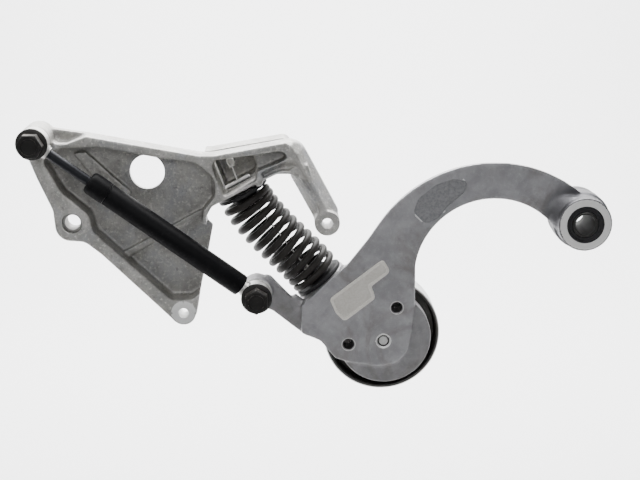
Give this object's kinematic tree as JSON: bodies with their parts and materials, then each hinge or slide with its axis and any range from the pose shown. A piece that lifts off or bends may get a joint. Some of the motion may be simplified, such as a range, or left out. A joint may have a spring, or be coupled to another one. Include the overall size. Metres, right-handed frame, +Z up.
{
  "type": "belt tensioner idler",
  "caption": "Sprung and damped belt tensioner: a cast bracket, a curved cast arm on a pivot tube, a coil spring, an oil damper and a smooth idler pulley on a ball bearing.",
  "frame": {"origin": "centre of the left mounting bore on the back mounting plane", "axes": "+X from the left mounting bore towards the pivot tube, +Z up as installed, the front with the damper faces -Y; the back plane that bolts to the engine is y = 0"},
  "size_m": [0.4032, 0.0745, 0.1962],
  "materials": {
    "cast_aluminium": "as-cast, fine grain, satin",
    "zinc_plated_steel": "zinc plated, satin",
    "black_coated_steel": "black coated, satin",
    "spring_coating": "dark grey-brown coating, satin",
    "bright_steel": "turned and ground",
    "brass": "machined",
    "black_rubber": "matt",
    "black_plastic": "matt"
  },
  "bodies": {
    "bracket": {"bracket_casting": "cast_aluminium", "mounting_sleeve": "zinc_plated_steel", "damper_top_bolt": "black_coated_steel", "damper_top_sleeve": "bright_steel", "spring_top_seat": "black_plastic", "coil_spring": "spring_coating", "limiter_toggle": "zinc_plated_steel", "limiter_cable": "zinc_plated_steel", "cable_end_tab": "zinc_plated_steel", "pivot_inner_sleeve": "bright_steel"},
    "arm": {"arm_casting": "cast_aluminium", "pivot_front_bush": "black_plastic", "pivot_rear_bush": "black_plastic", "pivot_front_seal": "black_rubber", "pivot_rear_seal": "black_rubber", "damper_bottom_bolt": "black_coated_steel", "damper_bottom_sleeve": "bright_steel", "spring_lower_seat": "black_plastic", "lower_ferrule": "zinc_plated_steel", "pulley_bolt": "bright_steel", "pulley_washer": "bright_steel", "bearing_inner_ring": "bright_steel"},
    "pulley": {"pulley": "bright_steel", "bearing_outer_ring": "bright_steel", "ball_cage": "brass", "bearing_front_seal": "black_rubber", "bearing_rear_seal": "black_rubber", "ball_1": "bright_steel", "ball_2": "bright_steel", "ball_3": "bright_steel", "ball_4": "bright_steel", "ball_5": "bright_steel", "ball_6": "bright_steel", "ball_7": "bright_steel", "ball_8": "bright_steel"},
    "damper_rod": {"damper_top_eye": "zinc_plated_steel", "top_rubber_bush": "black_rubber", "piston_rod": "bright_steel", "piston": "bright_steel", "piston_nut": "brass"},
    "damper_tube": {"damper_tube": "black_coated_steel", "damper_end_cap": "black_coated_steel", "rod_guide": "bright_steel", "rod_seal": "black_rubber", "inner_cylinder": "bright_steel", "base_valve": "brass", "damper_bottom_eye": "zinc_plated_steel", "bottom_rubber_bush": "black_rubber"}
  },
  "joints": [
    {"name": "arm_swing", "type": "hinge", "parent": "bracket", "child": "arm", "pos_m": [0.3515, -0.015, 0], "axis": [0, 1, 0], "range_deg": [0, 6], "stiffness_Nm_per_rad": 675, "springref_deg": -4.07, "deforming": ["coil_spring", "limiter_cable"]},
    {"name": "pulley_spin", "type": "hinge", "parent": "arm", "child": "pulley", "pos_m": [0.215, 0.007, -0.086], "axis": [0, 1, 0], "continuous": true},
    {"name": "damper_swing", "type": "hinge", "parent": "bracket", "child": "damper_rod", "pos_m": [-0.0215, -0.0295, 0.058], "axis": [0, 1, 0], "range_deg": [-6, 0]},
    {"name": "damper_slide", "type": "slide", "parent": "damper_rod", "child": "damper_tube", "axis": [-0.8072, 0, 0.5902], "range_m": [0, 0.0165]}
  ],
  "couplings": [
    {"joint": "damper_swing", "follows": "arm_swing", "ratio": -0.98},
    {"joint": "damper_slide", "follows": "arm_swing", "m_per_rad": 0.154}
  ]
}
